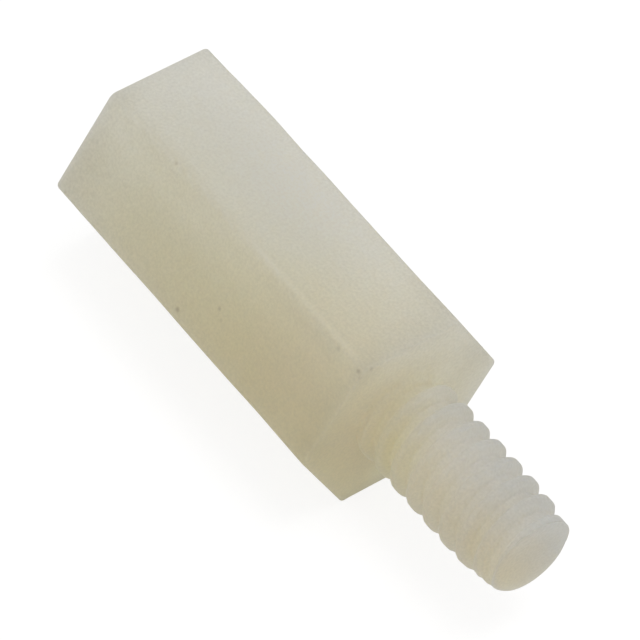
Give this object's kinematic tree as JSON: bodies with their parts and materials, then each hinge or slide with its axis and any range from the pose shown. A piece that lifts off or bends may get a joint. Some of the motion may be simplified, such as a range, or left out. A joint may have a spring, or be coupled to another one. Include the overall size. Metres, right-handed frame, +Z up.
{
  "type": "hex standoff",
  "caption": "One-piece moulded plastic hex standoff: a short hexagonal body with a threaded stud on one end and a tapped hole in the other, lying on a flat.",
  "frame": {"origin": "under the middle of the whole length, on the surface that the standoff lies on", "axes": "+X along the standoff's axis, from the tapped end to the stud's tip; +Z up, at right angles to the flat it lies on"},
  "size_m": [0.019, 0.0072, 0.0062],
  "materials": {
    "natural_nylon": "satin, milky and slightly translucent natural nylon"
  },
  "bodies": {
    "root": {"standoff": "natural_nylon"}
  },
  "joints": []
}
